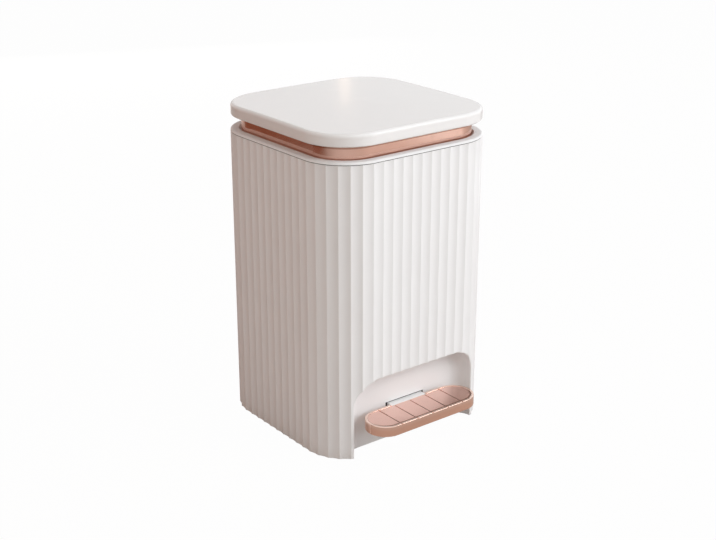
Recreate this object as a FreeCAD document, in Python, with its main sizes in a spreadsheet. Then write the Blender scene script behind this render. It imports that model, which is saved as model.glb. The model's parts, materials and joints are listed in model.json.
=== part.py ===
import FreeCAD, Part
import math
import os
import re

import Sketcher
from FreeCAD import Placement, Rotation, Vector

# Square pedal bin. Millimetres, +Z up, front towards -Y. The sizes below are measured from the middle of
# the body's footprint; the finished pieces then move back so that the whole bin, with its pedal, is centred.

SIZES = {
    # outer body
    "body_width": 250.0,
    "body_height": 364.0,
    "corner_radius": 58.0,
    "body_wall": 3.5,
    "flutes_per_quarter": 16,
    "flute_depth": 1.3,
    "boss_radius": 4.5,
    "boss_height": 20.0,
    "boss_inset": 22.0,
    # toe recess and its slot for the lever
    "recess_land": 32.5,
    "recess_height": 98.0,
    "recess_depth": 26.5,
    "recess_corner": 35.0,
    "recess_round": 18.0,
    "recess_wall": 2.5,
    "recess_lip": 1.5,
    "slot_side_gap": 3.0,
    "slot_end_gap": 1.4,
    # underside
    "foot_stand": 2.0,
    "foot_height": 3.0,
    "foot_radius": 11.0,
    "foot_taper": 1.5,
    "foot_inset": 42.0,
    "plate_thickness": 3.0,
    "plate_gap": 0.4,
    # collar
    "collar_thickness": 3.5,
    "collar_round": 2.4,
    "seam_height": 0.8,
    "seam_depth": 2.4,
    "seal_inset": 0.5,
    "flange_width": 10.25,
    "collar_gap": 0.3,
    "ledge_drop": 2.0,
    "ledge_thickness": 2.5,
    "skirt_depth": 9.0,
    "skirt_wall": 1.6,
    "ledge_width": 10.0,
    "crank_notch": 32.0,
    # band
    "band_groove": 2.75,
    "band_wall": 2.0,
    "band_height": 20.4,
    # bucket
    "bucket_gap": 2.0,
    "bucket_wall": 1.8,
    "bucket_floor": 2.2,
    "bucket_low": 50.0,
    "bucket_draft": 7.0,
    "bucket_radius": 38.0,
    "rim_thickness": 2.5,
    "rim_gap": 3.0,
    "rim_rear_lap": 4.0,
    "hand_hole_length": 76.0,
    "hand_hole_height": 22.0,
    "hand_hole_drop": 16.0,
    # lid
    "lid_overhang": -0.8,
    "lid_gap": 1.9,
    "lid_height": 16.7,
    "lid_crown": 1.3,
    "lid_wall": 2.0,
    "lid_rim": 8.5,
    "lid_edge_radius": 4.0,
    "lid_under_radius": 2.2,
    "liner_inset": 2.0,
    "liner_thickness": 2.0,
    "liner_gap": 0.4,
    "lid_boss_radius": 4.0,
    "lid_boss_inset": 39.7,
    "bumper_radius": 4.0,
    "bumper_gap": 0.3,
    "bumper_inset": 17.0,
    # hinge
    "hinge_inset": 7.0,
    "hinge_pin_radius": 2.5,
    "hinge_span": 94.0,
    "post_width": 13.0,
    "post_radius": 6.5,
    "post_side_gap": 0.5,
    "sill_thickness": 1.2,
    "barrel_radius": 5.5,
    "barrel_gap": 1.3,
    "band_end_gap": 1.0,
    "ear_width": 16.0,
    "bracket_length": 22.0,
    "bracket_thickness": 2.4,
    "lid_open_angle": 78.0,
    # crank, yoke and rod
    "crank_arm": 18.0,
    "crank_width": 8.0,
    "crank_web": 6.4,
    "crank_end_radius": 4.5,
    "crank_pin_radius": 2.0,
    "slot_slack": 0.75,
    "slot_run": 0.6,
    "yoke_width": 20.0,
    "yoke_side_gap": 1.2,
    "yoke_land": 2.6,
    "yoke_stem": 9.5,
    "socket_depth": 8.0,
    "rod_radius": 3.0,
    "rod_fit": 0.08,
    "guide_width": 24.0,
    "guide_height": 20.0,
    "guide_face": 6.0,
    "lower_guide_height": 90.0,
    "upper_guide_drop": 56.5,
    "cover_wall": 1.6,
    "cover_gap": 2.4,
    "cover_low": 64.0,
    "cover_drop": 23.5,
    "cover_bucket_gap": 4.0,
    # pedal and lever
    "pedal_radius": 24.4,
    "pedal_side_gap": 13.0,
    "pedal_rear_gap": 6.1,
    "pedal_low": 36.0,
    "pedal_height": 13.0,
    "pedal_wall": 2.0,
    "rim_width": 3.4,
    "rim_depth": 2.0,
    "rim_notch": 1.0,
    "pad_gap": 1.6,
    "pad_lap": 0.2,
    "pad_rise": 1.3,
    "tread_floor": 2.5,
    "tread_grooves": 5,
    "groove_spacing": 24.0,
    "groove_width": 1.4,
    "groove_depth": 0.9,
    "pedal_round": 0.7,
    "lever_width": 54.0,
    "lever_thickness": 5.0,
    "lever_front_gap": 3.0,
    "lever_bend": 12.0,
    "notch_gap": 0.5,
    "shoulder_drop": 0.6,
    "pivot_y": -20.0,
    "pivot_z": 18.0,
    "pivot_radius": 9.0,
    "pivot_width": 44.0,
    "shaft_radius": 4.0,
    "bush_wall": 1.5,
    "bush_length": 12.0,
    "bush_flange": 1.0,
    "bush_flange_wall": 1.6,
    "bearing_post": 8.0,
    "bearing_side_gap": 0.4,
    "clip_thickness": 1.0,
    "clip_wall": 2.2,
    "rear_arm_width": 14.0,
    "rear_arm_depth": 9.0,
    "lever_pin_z": 14.0,
    "lever_pin_radius": 2.5,
    "lever_end_radius": 5.5,
    "foot_cheek": 4.0,
    "foot_land": 3.0,
    # screws and fits
    "screw_radius": 1.5,
    "screw_head_radius": 2.8,
    "screw_head_height": 1.6,
    "screw_fit": 0.08,
    "pin_fit": 0.05,
}

# Places and sizes that follow from the driving ones.
WORKED = {
    "half": "body_width / 2",
    "inner_half": "half - body_wall",
    "inner_radius": "corner_radius - body_wall",
    "seam_z": "foot_stand + body_height",
    "boss_reach": "half - boss_inset",
    "recess_half": "half - recess_land",
    "recess_back": "recess_depth - half",
    "recess_inside": "recess_back + recess_wall",
    "recess_top": "foot_stand + recess_height",
    "plate_low": "foot_height",
    "plate_top": "plate_low + plate_thickness",
    "plate_half": "inner_half - plate_gap",
    "plate_radius": "inner_radius - plate_gap",
    "foot_reach": "half - foot_inset",
    "collar_top": "seam_z + collar_thickness",
    "ledge_top": "seam_z - ledge_drop",
    "ledge_low": "ledge_top - ledge_thickness",
    "plug_half": "inner_half - collar_gap",
    "plug_radius": "inner_radius - collar_gap",
    "flange_half": "half - flange_width",
    "flange_radius": "corner_radius - flange_width",
    "band_half": "flange_half - band_groove",
    "band_radius": "flange_radius - band_groove",
    "band_top": "ledge_top + band_height",
    "mouth_half": "band_half - band_wall - ledge_width",
    "mouth_rear": "cover_front - cover_bucket_gap - rim_rear_lap",
    "mouth_radius": "bucket_radius + bucket_gap",
    "rim_half": "band_half - band_wall - rim_gap",
    "rim_rear": "mouth_rear + rim_rear_lap",
    "rim_radius": "band_radius - band_wall - rim_gap",
    "rim_top": "ledge_top + rim_thickness",
    "hand_hole_z": "ledge_top - hand_hole_drop - hand_hole_height / 2",
    "hand_hole_y": "(mouth_rear - mouth_half) / 2",
    "lid_half": "half + lid_overhang",
    "lid_radius": "corner_radius + lid_overhang",
    "lid_low": "band_top + lid_gap",
    "lid_top": "lid_low + lid_height",
    "lid_ceiling": "lid_top - 1.5 * lid_crown - lid_wall",
    "lid_dome": "(lid_half * lid_half + lid_crown * lid_crown) / (2 * lid_crown)",
    "lid_boss_reach": "lid_half - lid_boss_inset",
    "liner_low": "lid_low + liner_inset",
    "liner_top": "liner_low + liner_thickness",
    "liner_half": "lid_half - lid_rim - liner_gap",
    "liner_radius": "lid_radius - lid_rim - liner_gap",
    "bumper_line": "band_half - band_wall / 2",
    "bumper_reach": "half - corner_radius - bumper_inset",
    "hinge_y": "half - hinge_inset",
    "hinge_rise": "sill_thickness + barrel_gap + barrel_radius",
    "hinge_z": "collar_top + hinge_rise",
    "sill_top": "collar_top + sill_thickness",
    "post_inside": "hinge_span / 2 - post_width",
    "post_middle": "hinge_span / 2 - post_width / 2",
    "barrel_half": "post_inside - post_side_gap",
    "bracket_low": "liner_low - bracket_thickness",
    "bracket_front": "liner_half - bracket_length",
    "ear_outside": "barrel_half - barrel_radius / 2",
    "ear_middle": "ear_outside - ear_width / 2",
    "half_swing": "lid_open_angle / 2",
    "crank_y": "hinge_y - crank_arm * cos(half_swing)",
    "crank_z": "hinge_z - crank_arm * sin(half_swing)",
    "crank_far_y": "hinge_y - crank_arm",
    "rod_rise": "2 * crank_arm * sin(half_swing)",
    "rod_y": "(crank_y + crank_far_y) / 2",
    "yoke_front": "crank_far_y - crank_pin_radius - slot_run - yoke_land",
    "yoke_rear": "crank_y + crank_pin_radius + slot_run + yoke_land",
    "yoke_top": "crank_z + crank_pin_radius + slot_slack + yoke_land",
    "yoke_channel": "crank_z - crank_arm * sin(half_swing) / 2 - crank_end_radius - yoke_side_gap",
    "yoke_low": "yoke_channel - yoke_stem",
    "upper_guide_height": "ledge_low - upper_guide_drop",
    "cover_front": "rod_y - guide_face - cover_gap - cover_wall",
    "cover_high": "ledge_low - cover_drop",
    "cover_half": "guide_width / 2 + cover_gap + cover_wall",
    "rear_arm": "rod_y - pivot_y",
    "press_slope": "rod_rise / rear_arm",
    "pedal_half": "recess_half - pedal_side_gap - pedal_radius",
    "pedal_y": "recess_back - pedal_rear_gap - pedal_radius",
    "pedal_rear": "pedal_y + pedal_radius",
    "pedal_reach": "pedal_radius - pedal_y - half",
    "pedal_top": "pedal_low + pedal_height",
    "tread_top": "pedal_top - rim_depth",
    "tread_low": "tread_top - tread_floor",
    "rim_inside": "pedal_radius - rim_width",
    "pad_top": "tread_top + pad_rise",
    "arm_low": "tread_low - lever_thickness",
    "arm_front": "pedal_y - pedal_radius + pedal_wall + lever_front_gap",
    "arm_bend": "recess_inside + lever_bend",
    "shoulder_top": "pedal_top - shoulder_drop",
    "shoulder_front": "pedal_rear - rim_width + notch_gap",
    "slot_top": "shoulder_top + slot_end_gap",
    "slot_low": "arm_low - (pivot_y - recess_back) * press_slope - slot_end_gap",
    "slot_half": "lever_width / 2 + slot_side_gap",
    "bush_radius": "shaft_radius + bush_wall",
    "bearing_inside": "pivot_width / 2 + bush_flange + bearing_side_gap",
    "bearing_outside": "bearing_inside + bearing_post",
    "cheek_inside": "rear_arm_width / 2 + bearing_side_gap + bush_flange / 2",
    "rod_foot_half": "cheek_inside + foot_cheek",
    "rod_foot_low": "lever_pin_z - lever_pin_radius - slot_slack - foot_land",
    "rod_foot_channel": "lever_pin_z + lever_end_radius + rear_arm_depth / 4 + bush_flange",
    "rod_foot_top": "rod_foot_channel + yoke_stem",
}

# Two measures closer than this are the same.
SAME_LEVEL = 1e-4

doc = FreeCAD.newDocument("pedal_bin")
dims = doc.addObject("Spreadsheet::Sheet", "dims")
for row, (alias, number) in enumerate(SIZES.items(), start=1):
    dims.set(f"A{row}", alias.replace("_", " "))
    dims.set(f"B{row}", str(number))
    dims.setAlias(f"B{row}", alias)
doc.recompute()


def bind(text):
    # Writes a formula in the sheet's own cells.
    def swap(match):
        word = match.group()
        if word in SIZES:
            return "dims." + word
        if word in WORKED:
            return "(" + bind(WORKED[word]) + ")"
        return word
    return re.sub(r"[a-z][a-z_0-9]*", swap, str(text))


def mm(text):
    # The present number of a formula.
    found = dims.evalExpression(bind(text))
    return float(getattr(found, "Value", found))


def new_body(label):
    body = doc.addObject("PartDesign::Body", label)
    body.Label = label
    return body


def new_sketch(body, plane, offset="0"):
    # Planes: XY looks down, YZ has Y to the right and Z up and faces +X.
    sketch = body.newObject("Sketcher::SketchObject", body.Name + "_sketch")
    support = next(f for f in body.Origin.OriginFeatures if f.Role == plane + "_Plane")
    sketch.AttachmentSupport = [(support, "")]
    sketch.MapMode = "FlatFace"
    sketch.setExpression("AttachmentOffset.Base.z", bind(offset))
    return sketch


def hold(sketch, kind, geometry, point, text):
    index = sketch.addConstraint(Sketcher.Constraint(kind, -1, 1, geometry, point, mm(text)))
    sketch.setExpression(f"Constraints[{index}]", bind(text))


def hold_radius(sketch, geometry, text):
    index = sketch.addConstraint(Sketcher.Constraint("Radius", geometry, mm(text)))
    sketch.setExpression(f"Constraints[{index}]", bind(text))


def draw_polygon(sketch, corners):
    points = [Vector(mm(x), mm(y), 0) for x, y in corners]
    count = len(points)
    first = sketch.GeometryCount
    for i in range(count):
        sketch.addGeometry(Part.LineSegment(points[i], points[(i + 1) % count]), False)
    for i, (x, y) in enumerate(corners):
        sketch.addConstraint(Sketcher.Constraint("Coincident", first + i, 2, first + (i + 1) % count, 1))
        hold(sketch, "DistanceX", first + i, 1, x)
        hold(sketch, "DistanceY", first + i, 1, y)


def draw_rectangle(sketch, left, right, low, high):
    draw_polygon(sketch, [(left, low), (right, low), (right, high), (left, high)])


def draw_circle(sketch, x, y, radius):
    shape = Part.Circle(Vector(mm(x), mm(y), 0), Vector(0, 0, 1), mm(radius))
    geometry = sketch.addGeometry(shape, False)
    hold(sketch, "DistanceX", geometry, 3, x)
    hold(sketch, "DistanceY", geometry, 3, y)
    hold_radius(sketch, geometry, radius)


def arc(x, y, radius, start, end):
    ring = Part.Circle(Vector(x, y, 0), Vector(0, 0, 1), radius)
    return Part.ArcOfCircle(ring, math.radians(start), math.radians(end))


def draw_rounded(sketch, left, right, low, high, radius):
    # A rectangle with equal rounded corners.
    x0, x1, y0, y1, r = (mm(text) for text in (left, right, low, high, radius))
    first = sketch.GeometryCount
    pieces = [
        Part.LineSegment(Vector(x0 + r, y0, 0), Vector(x1 - r, y0, 0)),
        arc(x1 - r, y0 + r, r, -90, 0),
        Part.LineSegment(Vector(x1, y0 + r, 0), Vector(x1, y1 - r, 0)),
        arc(x1 - r, y1 - r, r, 0, 90),
        Part.LineSegment(Vector(x1 - r, y1, 0), Vector(x0 + r, y1, 0)),
        arc(x0 + r, y1 - r, r, 90, 180),
        Part.LineSegment(Vector(x0, y1 - r, 0), Vector(x0, y0 + r, 0)),
        arc(x0 + r, y0 + r, r, 180, 270),
    ]
    for piece in pieces:
        sketch.addGeometry(piece, False)
    for i in range(len(pieces)):
        sketch.addConstraint(
            Sketcher.Constraint("Tangent", first + i, 2, first + (i + 1) % len(pieces), 1))
    for i in (0, 4):
        sketch.addConstraint(Sketcher.Constraint("Horizontal", first + i))
        sketch.addConstraint(Sketcher.Constraint("Vertical", first + i + 2))
    for i in (3, 5, 7):
        sketch.addConstraint(Sketcher.Constraint("Equal", first + 1, first + i))
    hold_radius(sketch, first + 1, radius)
    hold(sketch, "DistanceY", first, 1, low)
    hold(sketch, "DistanceX", first + 2, 1, right)
    hold(sketch, "DistanceY", first + 4, 1, high)
    hold(sketch, "DistanceX", first + 6, 1, left)


def draw_square(sketch, half, radius):
    draw_rounded(sketch, f"-({half})", half, f"-({half})", half, radius)


def draw_stadium(sketch, left, right, level, radius):
    # A bar with round ends, its end centres at left and right.
    x0, x1, y, r = (mm(text) for text in (left, right, level, radius))
    first = sketch.GeometryCount
    pieces = [
        Part.LineSegment(Vector(x0, y - r, 0), Vector(x1, y - r, 0)),
        arc(x1, y, r, -90, 90),
        Part.LineSegment(Vector(x1, y + r, 0), Vector(x0, y + r, 0)),
        arc(x0, y, r, 90, 270),
    ]
    for piece in pieces:
        sketch.addGeometry(piece, False)
    for i in range(len(pieces)):
        sketch.addConstraint(
            Sketcher.Constraint("Tangent", first + i, 2, first + (i + 1) % len(pieces), 1))
    sketch.addConstraint(Sketcher.Constraint("Equal", first + 1, first + 3))
    hold_radius(sketch, first + 1, radius)
    for geometry, x in ((first + 1, right), (first + 3, left)):
        hold(sketch, "DistanceX", geometry, 3, x)
        hold(sketch, "DistanceY", geometry, 3, level)


def extrude(body, kind, sketch, length, upward=True, both_ways=False):
    # Adds or cuts a prism; a cut has to take something away.
    before = body.Shape.Volume if body.Tip else 0.0
    feature = body.newObject("PartDesign::" + kind, body.Name + "_" + kind.lower())
    feature.Profile = sketch
    feature.setExpression("Length", bind(length))
    feature.SideType = "Symmetric" if both_ways else "One side"
    feature.Reversed = upward if kind == "Pocket" else not upward
    doc.recompute()
    change = body.Shape.Volume - before
    if change * (1 if kind == "Pad" else -1) <= 0:
        raise ValueError(f"{feature.Label} changes nothing")
    return feature


def pad(body, sketch, length, **ways):
    return extrude(body, "Pad", sketch, length, **ways)


def pocket(body, sketch, length, **ways):
    return extrude(body, "Pocket", sketch, length, **ways)


def loft(body, kind, sections):
    feature = body.newObject("PartDesign::" + kind, body.Name + "_loft")
    feature.Profile = sections[0]
    feature.Sections = sections[1:]
    feature.Ruled = True
    doc.recompute()
    return feature


def round_edges(body, radius, pick):
    base = body.Tip
    names = [f"Edge{i}" for i, edge in enumerate(base.Shape.Edges, start=1) if pick(edge)]
    feature = body.newObject("PartDesign::Fillet", body.Name + "_fillet")
    feature.Base = (base, names)
    feature.setExpression("Radius", bind(radius))
    doc.recompute()
    return feature


def level_with(first, second):
    return abs(first - second) < SAME_LEVEL


def at_height(level):
    # Picks the edges that lie flat at one height.
    z = mm(level)
    return lambda edge: level_with(edge.BoundBox.ZMin, z) and level_with(edge.BoundBox.ZMax, z)


def rim_of_lid(edge):
    # The lid's upper outline, away from its middle.
    away = min(math.hypot(corner.X, corner.Y) for corner in edge.Vertexes)
    return edge.BoundBox.ZMin > mm("lid_low + lid_height / 2") and away > mm("lid_half / 2")


TURNS = {"z": Rotation(), "x": Rotation(Vector(0, 1, 0), 90)}


def place(item, x, y, z):
    for axis, text in zip("xyz", (x, y, z)):
        item.setExpression(f"Placement.Base.{axis}", bind(text))


def rod(label, radius, length, x, y, z, along="z"):
    # A round bar from its start point along one axis.
    item = doc.addObject("Part::Cylinder", label)
    item.Label = label
    item.setExpression("Radius", bind(radius))
    item.setExpression("Height", bind(length))
    item.Placement = Placement(Vector(), TURNS[along])
    place(item, x, y, z)
    return item


def box(label, left, right, front, rear, low, high):
    item = doc.addObject("Part::Box", label)
    item.Label = label
    for size, start, end in (("Length", left, right), ("Width", front, rear), ("Height", low, high)):
        item.setExpression(size, bind(f"({end}) - ({start})"))
    place(item, left, front, low)
    return item


def cut(label, base, tool):
    item = doc.addObject("Part::Cut", label)
    item.Label = label
    item.Base = base
    item.Tool = tool
    return item


def fuse(label, items):
    item = doc.addObject("Part::MultiFuse", label)
    item.Label = label
    item.Shapes = items
    return item


def group(label, items):
    item = doc.addObject("Part::Compound", label)
    item.Label = label
    item.Links = items
    return item


def screws(label, spots, seat, length):
    # Pan-head screws that enter upwards from their seat.
    made = []
    for i, (x, y) in enumerate(spots, start=1):
        head = rod(f"{label}_head_{i}", "screw_head_radius", "screw_head_height", x, y,
                   f"{seat} - screw_head_height")
        shank = rod(f"{label}_shank_{i}", "screw_radius", length, x, y, seat)
        made.append(fuse(f"{label}_{i}", [head, shank]))
    return group(label, made)


def drill(body, spots, start, length, upward=True):
    sketch = new_sketch(body, "XY", start)
    for x, y in spots:
        draw_circle(sketch, x, y, "screw_radius + screw_fit")
    return pocket(body, sketch, length, upward=upward)


def corners(reach):
    return [(f"{i} * {reach}", f"{j} * {reach}") for i in (-1, 1) for j in (-1, 1)]


PLATE_SPOTS = corners("boss_reach")
LID_SPOTS = corners("lid_boss_reach")
BRACKET_SPOTS = [(f"{i} * ear_middle", "bracket_front + bracket_length / 4") for i in (-1, 1)]
HINGE_SPOTS = [(f"{i} * post_middle", "hinge_y - screw_radius") for i in (-1, 1)]
TREAD_SPOTS = [(f"{i} * lever_width / 4", "pedal_y") for i in (-1, 1)]


def outline_point(along):
    # A point of the body's rounded square and the way inwards there, going round from the front's middle.
    half, radius = mm("half"), mm("corner_radius")
    straight = half - radius
    bend = radius * math.pi / 2
    turns, rest = divmod(along, 2 * straight + bend)
    if rest < straight:
        point, inward = Vector(rest, -half, 0), Vector(0, 1, 0)
    elif rest < straight + bend:
        angle = (rest - straight) / radius
        inward = Vector(-math.sin(angle), math.cos(angle), 0)
        point = Vector(straight, -straight, 0) - inward * radius
    else:
        point, inward = Vector(half, rest - straight - bend - straight, 0), Vector(-1, 0, 0)
    turn = Rotation(Vector(0, 0, 1), 90 * turns)
    return turn.multVec(point), turn.multVec(inward)


def fluted_face():
    # Hollow flutes side by side, sharp where they meet.
    straight = mm("half - corner_radius")
    perimeter = 8 * straight + 2 * math.pi * mm("corner_radius")
    count = 4 * round(mm("flutes_per_quarter"))
    pitch = perimeter / count
    flutes = []
    for i in range(count):
        middle, inward = outline_point((i + 0.5) * pitch)
        ends = [outline_point((i + j) % count * pitch)[0] for j in (0, 1)]
        flutes.append(Part.Arc(ends[0], middle + inward * mm("flute_depth"), ends[1]).toShape())
    return Part.Face(Part.Wire(flutes))


def rounded_block(half, radius, low, high):
    side, height = mm(f"2 * ({half})"), mm(f"({high}) - ({low})")
    block = Part.makeBox(side, side, height, Vector(-side / 2, -side / 2, mm(low)))
    upright = [edge for edge in block.Edges if level_with(edge.BoundBox.ZLength, height)]
    return block.makeFillet(mm(radius), upright)


def recess_block(grow, low):
    # The toe recess as a solid, grown on every side: arched in front view, rounded along its back.
    half, back, top = mm("recess_half") + grow, mm("recess_back") + grow, mm("recess_top") + grow
    front = -mm("half") - mm("recess_depth")
    depth = back - front
    block = Part.makeBox(2 * half, depth, top - low, Vector(-half, front, low))
    arch = [edge for edge in block.Edges
            if level_with(edge.BoundBox.YLength, depth) and level_with(edge.BoundBox.ZMin, top)]
    block = block.makeFillet(mm("recess_corner") + grow, arch)
    rear = [edge for edge in block.Edges
            if level_with(edge.BoundBox.YMin, back) and not level_with(edge.BoundBox.ZMax, low)]
    return block.makeFillet(mm("recess_round") + grow, rear)


def skin_edges(shell, flutes, recess):
    # The edges round the recess where it breaks through the fluted skin.
    level = at_height("foot_stand")
    found = []
    for edge in shell.Edges:
        middle = Part.Vertex(edge.valueAt((edge.FirstParameter + edge.LastParameter) / 2))
        away = max(block.Shells[0].distToShape(middle)[0] for block in (flutes, recess))
        if away < SAME_LEVEL and not level(edge):
            found.append(edge)
    return found


def make_outer_body():
    low, seam = mm("foot_stand"), mm("seam_z")
    flutes = fluted_face().extrude(Vector(0, 0, seam - low))
    flutes.translate(Vector(0, 0, low))
    cavity = rounded_block("inner_half", "inner_radius", "foot_stand", "seam_z")
    cavity = cavity.cut(recess_block(mm("recess_wall"), low))
    shell = flutes.cut(cavity)
    bosses = []
    for x, y in PLATE_SPOTS:
        at = Vector(mm(x), mm(y), mm("plate_top"))
        bosses.append(Part.makeCylinder(mm("boss_radius"), mm("boss_height"), at))
    limit = rounded_block("half - body_wall / 2", "corner_radius - body_wall / 2", "foot_stand", "seam_z")
    shell = shell.fuse([boss.common(limit) for boss in bosses])
    holes = []
    for x, y in PLATE_SPOTS:
        at = Vector(mm(x), mm(y), mm("plate_top"))
        holes.append(Part.makeCylinder(mm("screw_radius + screw_fit"), mm("boss_height / 2"), at))
    slot = Part.makeBox(mm("2 * slot_half"), mm("4 * recess_wall"), mm("slot_top - slot_low"),
                        Vector(-mm("slot_half"), mm("recess_back - 2 * recess_wall"), mm("slot_low")))
    recess = recess_block(0.0, low - mm("recess_wall"))
    shell = shell.cut([recess, slot] + holes).removeSplitter().Solids[0]
    item = doc.addObject("Part::Feature", "outer_body")
    item.Label = "outer_body"
    item.Shape = shell.makeFillet(mm("recess_lip"), skin_edges(shell, flutes, recess))
    item.Placement = Placement()
    return item


def make_base_plate():
    body = new_body("base_plate")
    sketch = new_sketch(body, "XY", "plate_low")
    draw_square(sketch, "plate_half", "plate_radius")
    pad(body, sketch, "plate_thickness")
    sketch = new_sketch(body, "XY", "plate_low")
    side = "recess_half + recess_wall + plate_gap"
    draw_rounded(sketch, f"-({side})", side, "-body_width", "recess_inside + plate_gap",
                 "recess_round + recess_wall + plate_gap")
    pocket(body, sketch, "plate_thickness")
    root = "plate_low + plate_thickness / 2"
    sketch = new_sketch(body, "YZ")
    draw_polygon(sketch, [
        ("pivot_y - 1.5 * pivot_radius", root), ("pivot_y + 1.5 * pivot_radius", root),
        ("pivot_y + pivot_radius", "pivot_z"), ("pivot_y - pivot_radius", "pivot_z")])
    pad(body, sketch, "2 * bearing_outside", both_ways=True)
    sketch = new_sketch(body, "YZ")
    draw_circle(sketch, "pivot_y", "pivot_z", "pivot_radius")
    pad(body, sketch, "2 * bearing_outside", both_ways=True)
    sketch = new_sketch(body, "YZ")
    draw_rectangle(sketch, "pivot_y - 2 * pivot_radius", "pivot_y + 2 * pivot_radius", "plate_top",
                   "pivot_z + 2 * pivot_radius")
    pocket(body, sketch, "2 * bearing_inside", both_ways=True)
    sketch = new_sketch(body, "YZ")
    draw_circle(sketch, "pivot_y", "pivot_z", "shaft_radius + pin_fit")
    pocket(body, sketch, "2 * bearing_outside", both_ways=True)
    drill(body, PLATE_SPOTS, "plate_low", "plate_thickness")
    return body


def make_feet():
    made = []
    for i, (x, y) in enumerate(corners("foot_reach"), start=1):
        foot = doc.addObject("Part::Cone", f"foot_{i}")
        foot.setExpression("Radius1", bind("foot_radius - foot_taper"))
        foot.setExpression("Radius2", bind("foot_radius"))
        foot.setExpression("Height", bind("foot_height"))
        place(foot, x, y, "0")
        made.append(foot)
    return group("rubber_feet", made)


def make_collar():
    body = new_body("top_collar")
    sketch = new_sketch(body, "XY", "seam_z + seam_height")
    draw_square(sketch, "half", "corner_radius")
    pad(body, sketch, "collar_thickness - seam_height")
    round_edges(body, "collar_round", at_height("collar_top"))
    sketch = new_sketch(body, "XY", "seam_z")
    draw_square(sketch, "half - seam_depth", "corner_radius - seam_depth")
    pad(body, sketch, "2 * seam_height")
    sketch = new_sketch(body, "XY", "ledge_low - skirt_depth")
    draw_square(sketch, "plug_half", "plug_radius")
    pad(body, sketch, "seam_z - ledge_low + skirt_depth")
    sketch = new_sketch(body, "XY", "ledge_top")
    draw_square(sketch, "flange_half", "flange_radius")
    pocket(body, sketch, "collar_top - ledge_top")
    sketch = new_sketch(body, "XY", "ledge_low - skirt_depth")
    draw_square(sketch, "plug_half - skirt_wall", "plug_radius - skirt_wall")
    pocket(body, sketch, "skirt_depth")
    sketch = new_sketch(body, "XY", "ledge_low")
    draw_rounded(sketch, "-mouth_half", "mouth_half", "-mouth_half", "mouth_rear", "mouth_radius")
    pocket(body, sketch, "ledge_thickness")
    sketch = new_sketch(body, "XY", "ledge_low")
    draw_rectangle(sketch, "-crank_notch / 2", "crank_notch / 2", "mouth_rear - bucket_gap",
                   "flange_half - band_groove / 2")
    pocket(body, sketch, "ledge_thickness")
    drill(body, HINGE_SPOTS, "ledge_low", "collar_top - ledge_low")
    return body


def make_seal():
    # A soft ring in the seam under the collar.
    body = new_body("collar_seal")
    sketch = new_sketch(body, "XY", "seam_z")
    draw_square(sketch, "half - seal_inset", "corner_radius - seal_inset")
    pad(body, sketch, "seam_height")
    sketch = new_sketch(body, "XY", "seam_z")
    draw_square(sketch, "half - seam_depth", "corner_radius - seam_depth")
    pocket(body, sketch, "seam_height")
    return body


def make_band():
    body = new_body("trim_band")
    sketch = new_sketch(body, "XY", "ledge_top")
    draw_square(sketch, "band_half", "band_radius")
    pad(body, sketch, "band_height")
    sketch = new_sketch(body, "XY", "ledge_top")
    draw_square(sketch, "band_half - band_wall", "band_radius - band_wall")
    pocket(body, sketch, "band_height")
    sketch = new_sketch(body, "XY", "ledge_top")
    side = "hinge_span / 2 + band_end_gap"
    draw_rectangle(sketch, f"-({side})", side, "band_half / 2", "half")
    pocket(body, sketch, "band_height")
    return body


def draw_bucket_section(sketch, shrink, radius):
    # The bucket's plan, shrunk on every side from the mouth in the collar.
    draw_rounded(sketch, f"-(mouth_half - ({shrink}))", f"mouth_half - ({shrink})",
                 f"-(mouth_half - ({shrink}))", f"mouth_rear - ({shrink})", radius)


def make_bucket():
    body = new_body("inner_bucket")
    sections = []
    for level, shrink in (("bucket_low", "bucket_gap + bucket_draft"), ("ledge_top", "bucket_gap")):
        sketch = new_sketch(body, "XY", level)
        draw_bucket_section(sketch, shrink, f"mouth_radius - ({shrink})")
        sections.append(sketch)
    loft(body, "AdditiveLoft", sections)
    sketch = new_sketch(body, "XY", "ledge_top")
    draw_rounded(sketch, "-rim_half", "rim_half", "-rim_half", "rim_rear", "rim_radius")
    pad(body, sketch, "rim_thickness")
    sections = []
    for level, shrink in (("bucket_low + bucket_floor", "bucket_gap + bucket_draft + bucket_wall"),
                          ("rim_top", "bucket_gap + bucket_wall")):
        sketch = new_sketch(body, "XY", level)
        draw_bucket_section(sketch, shrink, f"mouth_radius - ({shrink})")
        sections.append(sketch)
    loft(body, "SubtractiveLoft", sections)
    sketch = new_sketch(body, "YZ")
    reach = "(hand_hole_length - hand_hole_height) / 2"
    draw_stadium(sketch, f"hand_hole_y - {reach}", f"hand_hole_y + {reach}", "hand_hole_z",
                 "hand_hole_height / 2")
    pocket(body, sketch, "body_width", both_ways=True)
    return body


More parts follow.
